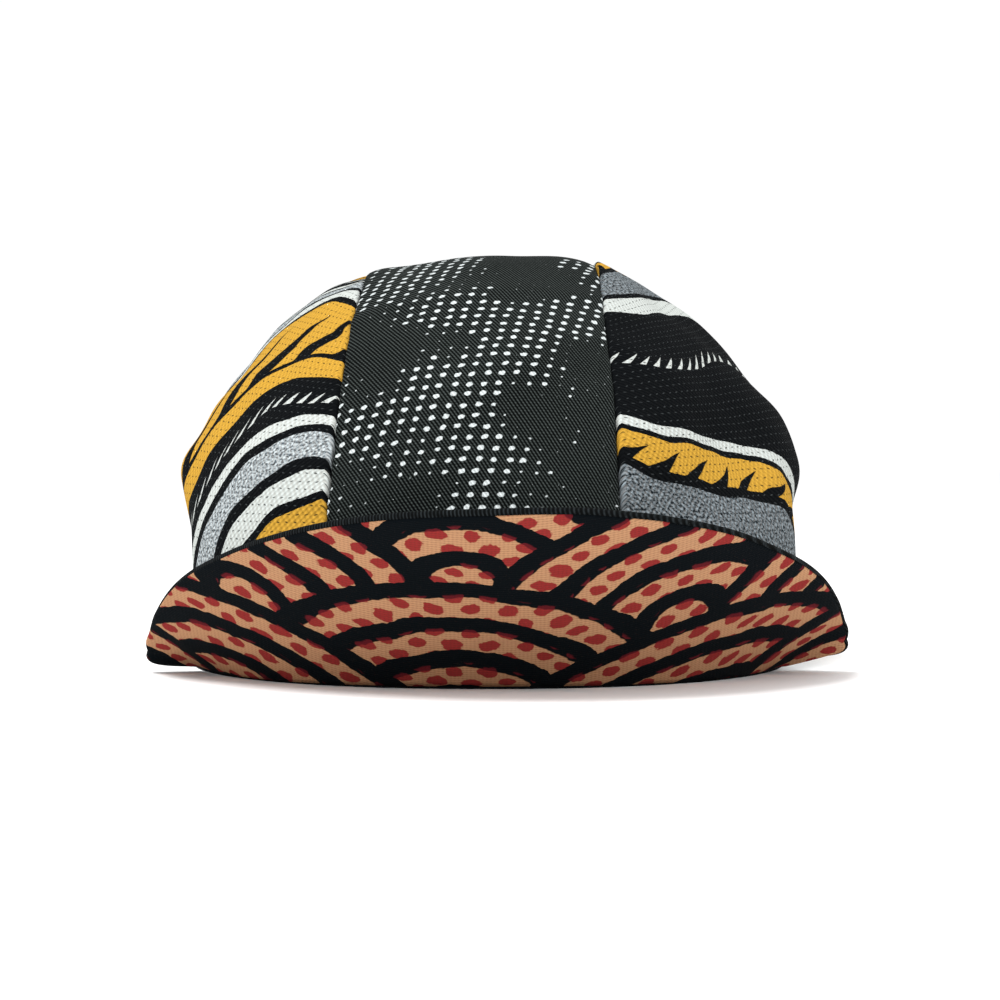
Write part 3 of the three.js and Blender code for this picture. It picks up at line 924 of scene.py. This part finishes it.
# %% [markdown]
# The dots of the strip are a loose halftone: a slanted lattice of hand-cut dots whose size follows
# a slow cloud, so they swell into patches and vanish between them. The ink sinks into the furrows
# and shows less there, and the dots also take the furrows' painted shade, so the ribs still show in
# each dot.

# %% Dotted twill of the centre strip
DOT_PITCH, DOT_ROW, DOT_LEAN = 3.7, 3.45, -0.19
DOT_RADIUS = 0.92
DOT_PATCH = 30.0
DOT_INK = "CDD4D4"


def dotted_twill(x, y):
    """Twill under white dots: one in each cell of the lattice, as large as the cloud there."""
    colour, height = twill(x, y)
    column = (x + y * DOT_LEAN) / DOT_PITCH
    row = y / DOT_ROW
    cell_x, cell_y = column.math("FLOOR"), row.math("FLOOR")
    patch = cloud(cell_x * DOT_PITCH, cell_y * DOT_ROW, DOT_PATCH, 11.0)
    patch = patch + cloud(cell_x * 9.0, cell_y * 9.0, 4.0, 12.0) * 0.22
    radius = (patch * 2.6 + 0.75).clamped() * DOT_RADIUS
    side = (column - cell_x - 0.5) * DOT_PITCH + cloud(cell_x * 7.0, cell_y * 7.0, 3.0, 13.0) * 0.45
    rise = (row - cell_y - 0.5) * DOT_ROW + cloud(cell_x * 7.0, cell_y * 7.0, 3.0, 14.0) * 0.45
    far = (side * side + rise * rise * 1.25).math("SQRT") + cloud(x, y, 1.1, 15.0) * 0.24
    # Each dot is darker where the twill is low: less ink there, and painted shade in the furrows.
    ink = far.below(radius - 0.12, 0.22) * (height * 2.2 + 0.62).math("MINIMUM", 1.0)
    return mix(ink, colour, DOT_INK), height


print("dots lie", DOT_PITCH, "mm apart in rows of", DOT_ROW, "mm, up to", 2 * DOT_RADIUS, "mm wide")


# %% [markdown]
# The side panels are pique: a light knit with small raised stitches in a diamond lattice and rows
# of eyelets that let air through. On a light colour an eyelet is a dark dash of painted shade from
# the dim inside, and the hollows between the stitches get painted shade too. The printed ink
# colours only the face, so an eyelet is a pale dash on black.

# %% Pique knit
STITCH_WIDE, STITCH_HIGH = 1.7, 2.1
EYELET_WIDE, EYELET_HIGH = 2.6, 4.6
# Painted shade between the stitches and in the eyelets on light colours, and pale yarn in the eyelets on
# black.
STITCH_PAINTED_SHADE, EYELET_SHADE_ON_LIGHT, EYELET_ON_BLACK = "5A3A12", "1C1E1E", "8E9698"
YARN, YARN_SHADE = "D5D8D6", "A9ACAB"


def pique(x, y):
    """Height of the knit, and where its eyelets are: short slanted dashes in staggered rows."""
    x = x + cloud(x, y, 14.0, 31.0) * 0.2
    y = y + cloud(x, y, 14.0, 32.0) * 0.2
    stitch = x.wave(STITCH_WIDE) * y.wave(STITCH_HIGH) * 0.5 + 0.5
    row = y / EYELET_HIGH
    column = (x + row.math("FLOOR") * 1.1) / EYELET_WIDE
    side = (column.math("FRACT") - 0.5) * EYELET_WIDE
    rise = (row.math("FRACT") - 0.5) * EYELET_HIGH
    near_row = rise.math("ABSOLUTE") - 1.05
    slant = near_row + side * 0.25
    far = (side * side * 0.45 + slant * slant * 3.2).math("SQRT") + cloud(x, y, 1.1, 33.0) * 0.06
    return stitch, far.below(0.30, 0.22)


def heather(x, y, dark, light):
    """Speckle of mixed yarns: grains of under half a millimetre from dark to light."""
    grain = cloud(x, y, 0.8, 35.0, 2.0) * 0.85 + 0.5
    return mix(grain.clamped(), dark, light)


print("an eyelet every", EYELET_WIDE, "mm in rows", EYELET_HIGH, "mm apart")


# %% [markdown]
# The print on the sides is a set of flowing bands in amber, white, heather grey and black, each
# held by a black line as if drawn with a brush. A band is a range of one slanted coordinate that
# is bent by a long wave and a cloud. A row of tapered strokes cuts into the amber, and short
# dashes run along the black.

# %% Banded print of the side panels
AMBER, WHITE, INK, SLATE = "C39637", "C2C9C6", "090B0D", "8D979C"


def banded(x, y, slant, bend, bands, seed):
    """Colour of the bands, which are given as start in millimetres and colour, then the period."""
    flow = x * math.sin(slant) + y * math.cos(slant)
    along = x * math.cos(slant) - y * math.sin(slant)
    flow = flow + (along + 14.0).wave(96.0) * bend + cloud(x, y, 60.0, seed) * 7.0
    edge = flow + cloud(x, y, 12.0, seed + 1) * 0.7 + cloud(x, y, 1.2, seed + 2) * 0.10
    period = bands[-1][0]
    place = (edge / period).math("FRACT")
    ramp = add_node(x.tree, "ShaderNodeValToRGB", [place])
    grey = add_node(x.tree, "ShaderNodeValToRGB", [place])
    for node, is_mask in ((ramp, False), (grey, True)):
        node.color_ramp.interpolation = "CONSTANT"
        elements = node.color_ramp.elements
        elements.remove(elements[1])
        for k, (start, colour) in enumerate(bands[:-1]):
            element = elements[0] if k == 0 else elements.new(start / period)
            element.position = start / period
            shown = ("FFFFFF" if colour == SLATE else "000000") if is_mask else colour
            element.color = linear(shown)
    return Field(ramp.outputs[0]), Field(grey.outputs[0]), place * period, along + flow * 0.35


def tapered(place, along, start, width, pitch, fullness):
    """Strokes across a band, wide where it starts and drawn to a point where it ends."""
    share = (place - start) / width
    inside = share.math("COMPARE", 0.5, 0.5)
    uneven = cloud(along, place, 11.0, 77.0) * 0.16
    across = ((along / pitch + share * 0.5 + uneven).math("FRACT") - 0.5).math("ABSOLUTE")
    taper = share.rest().math("MAXIMUM", 0.0).math("POWER", 0.75) * fullness
    return across.below(taper - 0.02, 0.03) * inside


def printed_pique(x, y, slant, bend, bands, strokes, dashes, greys, seed):
    """Colour and height of a side panel: the bands, their strokes, the heather and the eyelets,
    with painted shade in the eyelets and between the stitches on light colours.
    """
    stitch, eyelet = pique(x, y)
    colour, grey, place, along = banded(x, y, slant, bend, bands, seed)
    colour = mix(grey, colour, heather(x, y, *greys))
    colour = mix(tapered(place, along, *strokes), colour, INK)
    colour = mix(tapered(place, along, *dashes), colour, WHITE)
    tone = add_node(x.tree, "ShaderNodeRGBToBW", [colour])
    is_light = Field(tone.outputs[0]).below(0.09, 0.04).rest()
    # Painted shade in the hollows between the raised stitches, on light colours only.
    colour = mix(stitch.rest() * 0.36 * is_light, colour, STITCH_PAINTED_SHADE)
    # The eyelets on light colours are dark dashes of painted shade standing for the dim inside.
    colour = mix(eyelet * is_light * 0.8, colour, EYELET_SHADE_ON_LIGHT)
    colour = mix(eyelet * is_light.rest() * 0.13, colour, EYELET_ON_BLACK)
    return colour, stitch * 0.30 - eyelet * 0.2


# %% Prints of the two side panels
# Start in millimetres and colour of each band, and last the period.
LEFT_BANDS = [
    (0, AMBER), (30, INK), (32.6, WHITE), (38.6, INK), (41.4, SLATE), (50, INK), (52.6, WHITE),
    (56.2, INK), (73, AMBER), (83, INK), (85.4, None),
]
RIGHT_BANDS = [
    (0, INK), (44, WHITE), (51.5, INK), (54, SLATE), (67, INK), (69.5, AMBER), (78, INK),
    (79.8, WHITE), (83.2, INK), (96, None),
]


def left_print(x, y):
    """Left panel: broad amber with tapered black strokes."""
    strokes, dashes = (0.0, 24.0, 15.0, 0.30), (61.5, 4.5, 4.4, 0.26)
    return printed_pique(x, y, 0.62, 9.0, LEFT_BANDS, strokes, dashes, ("4A555C", "C6D0D3"), 21.0)


def right_print(x, y):
    """Right panel: mostly black, with white, heather and a little amber."""
    strokes, dashes = (69.5, 6.0, 10.0, 0.26), (18.0, 5.0, 4.6, 0.24)
    return printed_pique(x, y, -0.5, 8.0, RIGHT_BANDS, strokes, dashes, ("0F1418", "8A979E"), 24.0)


def knit_back(x, y):
    """Inside of the knit: the unprinted yarn with the print's shade showing through."""
    stitch, eyelet = pique(x, y)
    colour = mix(stitch * 0.2 + eyelet * 0.4, YARN, YARN_SHADE)
    return colour, stitch * 0.2 - eyelet * 0.15


print("bands on the left and right:", len(LEFT_BANDS) - 1, "and", len(RIGHT_BANDS) - 1)


# %% [markdown]
# The print under the peak is a field of overlapping fans, as on many old textiles: rows of circles
# in which each row hides the lower half of the row above. Every fan has black rings on peach, and
# the peach carries staggered red spots, which show darkly where they run on under a ring's edge.
# The lines waver like brush strokes.

# %% Fans under the peak
FAN_RADIUS = 51.0
RING_PITCH = 12.75
RING_BLACK = 0.455
SPOT_PITCH, SPOT_ROW = 8.3, 4.6
SPOT_RADIUS = 2.1
# Peach, its faded tone, and the painted shade between the weave's threads.
PEACH, FADED_PEACH, WEAVE_PAINTED_SHADE = "B38663", "8F674E", "3A2A20"
SPOT_RED, RING_INK, RED_UNDER_INK = "841D23", "080C0F", "7A2028"


def fan_place(x, y):
    """Place within the front fan at a point: sideways and upwards from the fan's middle."""
    step = FAN_RADIUS / 2
    row = (y / step).math("FLOOR")
    rise = y - row * step
    parity = (row * 0.5).math("FRACT") * 2

    def sideways(shift):
        turned = (x + shift * FAN_RADIUS) / (2 * FAN_RADIUS) + 0.5
        return (turned.math("FRACT") - 0.5) * (2 * FAN_RADIUS)

    even, odd = sideways(parity), sideways(parity.rest())
    inside = []
    for side, up in ((odd, rise + step), (even, rise)):
        far = (side * side + up * up).math("SQRT")
        inside.append(far.math("LESS_THAN", FAN_RADIUS))
    lower = inside[0]
    middle = lower.rest() * inside[1]
    upper = lower.rest() - middle
    side = odd * (lower + upper) + even * middle
    up = (rise + step) * lower + rise * middle + (rise - step) * upper
    return side, up


def spots(x, y):
    """Distance from the middle of the nearest spot, in rows shifted by half a pitch."""
    row = y / SPOT_ROW
    column = x / SPOT_PITCH + row.math("FLOOR") * 0.5
    side = (column.math("FRACT") - 0.5) * SPOT_PITCH
    rise = (row.math("FRACT") - 0.5) * SPOT_ROW
    return (side * side * 0.85 + rise * rise * 1.2).math("SQRT")


def fan_print(x, y):
    """Colour and height under the peak: rings, spots and a fine plain weave, with painted shade
    where its threads lie low.
    """
    drawn_x = x + cloud(x, y, 13.0, 41.0) * 0.8 + cloud(x, y, 2.2, 42.0) * 0.28
    drawn_y = y + cloud(x, y, 13.0, 43.0) * 0.8 + cloud(x, y, 2.2, 44.0) * 0.28
    side, up = fan_place(drawn_x + 6.0, drawn_y + 11.0)
    far = (side * side + up * up).math("SQRT")
    ring = (far * -1.0 + FAN_RADIUS) / RING_PITCH
    spot = spots(drawn_x + cloud(x, y, 9.0, 50.0) * 0.7, drawn_y + cloud(x, y, 9.0, 51.0) * 0.7)
    spot = (spot + cloud(x, y, 2.6, 45.0) * 0.25 + cloud(x, y, 0.6, 46.0) * 0.14).below(SPOT_RADIUS, 0.25)
    black = (ring.math("FRACT") + cloud(x, y, 21.0, 47.0) * 0.03).below(RING_BLACK, 0.02)
    faded = cloud(x, y, 0.6, 48.0, 2.0) * 0.12 + 0.1
    colour = mix(spot * 0.95, mix(faded.clamped(), PEACH, FADED_PEACH), SPOT_RED)
    weave = x.wave(0.95) * 0.5 + y.wave(0.8)
    # Painted shade where the weave's threads lie low.
    colour = mix((weave * -0.16 + 0.10).clamped(), colour, WEAVE_PAINTED_SHADE)
    seen = ring.math("FRACT").below(RING_BLACK - 0.09, 0.04) * -0.45 + 0.45
    colour = mix(black, colour, mix(spot * seen, RING_INK, RED_UNDER_INK))
    return colour, weave * 0.035 + cloud(x, y, 0.8, 49.0) * 0.03


print("fans are", 2 * FAN_RADIUS, "mm wide with rings", RING_PITCH, "mm apart")


# %% [markdown]
# The rest is plain black cotton: fine twill on the peak and a denser, duller weave on the band.

# %% Finishes of all pieces
def peak_twill(x, y):
    """Fine black twill of the peak's top cover, with painted shade in its furrows and painted light
    on its ribs.
    """
    return twill(x, y, 0.8, "070808", "222628")


def band_weave(x, y):
    """Soft black cotton: small ribs along the band, with painted light on the ribs and painted shade
    between them.
    """
    lit_rib = y.wave(1.1) * 0.5 + x.wave(1.5) * 0.25
    # Painted light on the ribs and painted shade between them, with a random tone.
    lit = lit_rib * 0.3 + cloud(x, y, 1.0, 61.0) * 0.2 + 0.4
    return mix(lit.clamped(), "060708", "1D2022"), lit_rib * 0.08


def strip_back(x, y):
    """Inside of the strip: the same twill without its print, a little faded, with the same painted
    shade and light.
    """
    return twill(x, y, RIB_PITCH, "141617", "35393B")


finishes = [
    (centre_cloth, [("dotted_twill", dotted_twill), ("twill_back", strip_back)]),
    (left_cloth, [("printed_pique_left", left_print), ("pique_back", knit_back)]),
    (right_cloth, [("printed_pique_right", right_print), ("pique_back_right", knit_back)]),
    (band_cloth, [("band_cotton", band_weave)]),
    (top_cloth, [("peak_twill", peak_twill)]),
    (under_cloth, [("fan_print_cotton", fan_print)]),
]
for cloth, sides in finishes:
    for name, draw in sides:
        cloth.data.materials.append(cloth_material(name, draw))
    print(cloth.name, [material.name for material in cloth.data.materials])

# %% [markdown]
# The photograph is taken almost level with the cap, from the front, with a long lens. The camera
# stands 0.8 m before the crown's middle, and the focal length follows from the cap's size in it.

# %% Camera
PHOTO_PIXELS = 1000
FOCAL_PIXELS = 2960
CAMERA_DISTANCE = 0.8
CAMERA_HEIGHT = 0.058
MIDDLE_PIXEL_X, HORIZON_PIXEL_Y = 489, 445
SENSOR = 0.036

camera_data = bpy.data.cameras.new("camera")
camera_data.sensor_width = SENSOR * 1000
camera_data.lens = SENSOR * 1000 * FOCAL_PIXELS / PHOTO_PIXELS
camera = bpy.data.objects.new("camera", camera_data)
camera.location = (rim_middle[0], rim_middle[1] - CAMERA_DISTANCE, CAMERA_HEIGHT)
turn = math.atan((PHOTO_PIXELS / 2 - MIDDLE_PIXEL_X) / FOCAL_PIXELS)
tilt = math.atan((PHOTO_PIXELS / 2 - HORIZON_PIXEL_Y) / FOCAL_PIXELS)
camera.rotation_euler = (math.pi / 2 - tilt, 0, -turn)
bpy.context.scene.collection.objects.link(camera)
bpy.context.scene.camera = camera
print("lens", round(camera_data.lens, 1), "mm, tilt", round(math.degrees(tilt), 2), "degrees down")

# %% [markdown]
# The studio is a white floor that runs far back under a white sky, with one large soft light over
# the camera's left shoulder and a weaker one at the right, as in a product photograph.

# %% Studio
FLOOR_HALF = 6.0
floor_mesh = bpy.data.meshes.new("studio_floor")
corners = [(x * FLOOR_HALF, y * FLOOR_HALF, 0) for x, y in ((-1, -1), (1, -1), (1, 1), (-1, 1))]
floor_mesh.from_pydata(corners, [], [(0, 1, 2, 3)])
floor = bpy.data.objects.new("studio_floor", floor_mesh)
paper = bpy.data.materials.new("studio_paper")
paper.use_nodes = True
paper_look = paper.node_tree.nodes["Principled BSDF"].inputs
paper_look["Base Color"].default_value = linear("FDFDFD")
paper_look["Roughness"].default_value = 0.9
paper_look["Specular IOR Level"].default_value = 0.0
floor.data.materials.append(paper)
bpy.context.scene.collection.objects.link(floor)

world = bpy.data.worlds.new("white_sky")
world.use_nodes = True
sky = world.node_tree.nodes["Background"].inputs
sky["Color"].default_value = linear("FFFFFF")
sky["Strength"].default_value = 1.02
bpy.context.scene.world = world


def soft_light(name, place, size, watts):
    """A square area light that looks at the crown."""
    light = bpy.data.lights.new(name, "AREA")
    light.size = size
    light.energy = watts
    lamp = bpy.data.objects.new(name, light)
    lamp.location = place
    aim = Vector((rim_middle[0], rim_middle[1], 0.05)) - lamp.location
    lamp.rotation_euler = aim.to_track_quat("-Z", "Y").to_euler()
    bpy.context.scene.collection.objects.link(lamp)
    return lamp


soft_light("key_light", (-0.5, -0.6, 1.6), 0.7, 27)
soft_light("fill_light", (1.0, -0.9, 0.8), 0.9, 4)
bpy.context.scene.view_settings.view_transform = "Standard"
